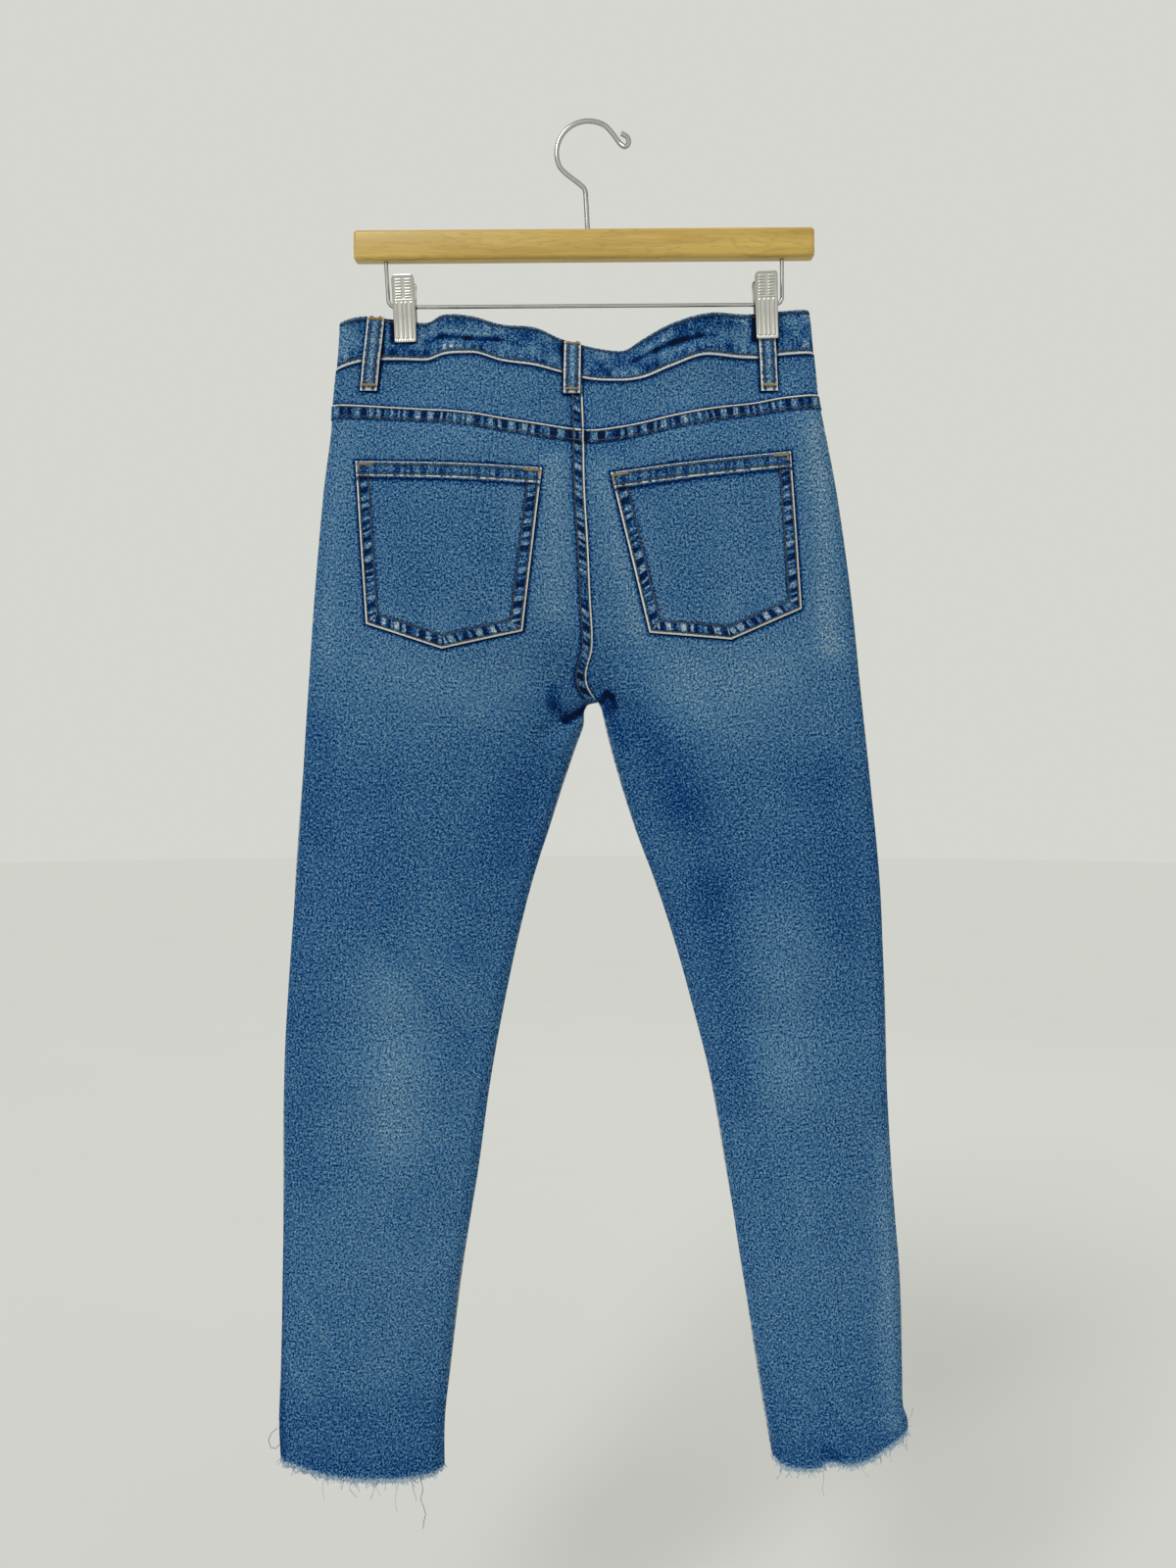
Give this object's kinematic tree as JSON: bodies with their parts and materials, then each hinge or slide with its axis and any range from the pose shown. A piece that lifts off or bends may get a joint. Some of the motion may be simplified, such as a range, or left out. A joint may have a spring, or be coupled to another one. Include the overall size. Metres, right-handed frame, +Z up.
{
  "type": "jeans on a wooden clip hanger",
  "caption": "Cropped jeans with frayed hems, hung flat by the waistband from a wooden bar hanger with steel clips.",
  "frame": {"origin": "underside of the hanger hook's arc, where a rail or wall hook carries it", "axes": "+Z up along the hang, +X to the wearer's right, the jeans' back faces -Y"},
  "size_m": [0.4912, 0.0519, 1.0687],
  "materials": {
    "denim": "washed mid-blue stretch twill",
    "frayed_threads": "loose pale cotton",
    "seam_thread": "olive-brown stitching",
    "bartack_thread": "golden orange stitching",
    "zip_brass": "satin",
    "button_metal": "worn satin",
    "hanger_wood": "clear lacquered",
    "hanger_steel": "polished plate",
    "clip_steel": "pressed and plated"
  },
  "bodies": {
    "root": {"back_left": "denim", "back_right": "denim", "front_left": "denim", "front_right": "denim", "yoke_left": "denim", "yoke_right": "denim", "waistband": "denim", "pocket_back_left": "denim", "pocket_back_right": "denim", "facing_left": "denim", "facing_right": "denim", "fly_flap": "denim", "loop_back_left": "denim", "loop_back_centre": "denim", "loop_back_right": "denim", "loop_front_left": "denim", "loop_front_right": "denim", "fringe_left": "frayed_threads", "fringe_right": "frayed_threads", "zip": "zip_brass", "button": "button_metal", "hanger_bar": "hanger_wood", "hanger_hook": "hanger_steel", "hanger_wire": "hanger_steel", "clip_left_near_jaw": "clip_steel", "clip_left_far_jaw": "clip_steel", "clip_left_spring": "hanger_steel", "clip_right_near_jaw": "clip_steel", "clip_right_far_jaw": "clip_steel", "clip_right_spring": "hanger_steel"}
  },
  "joints": []
}
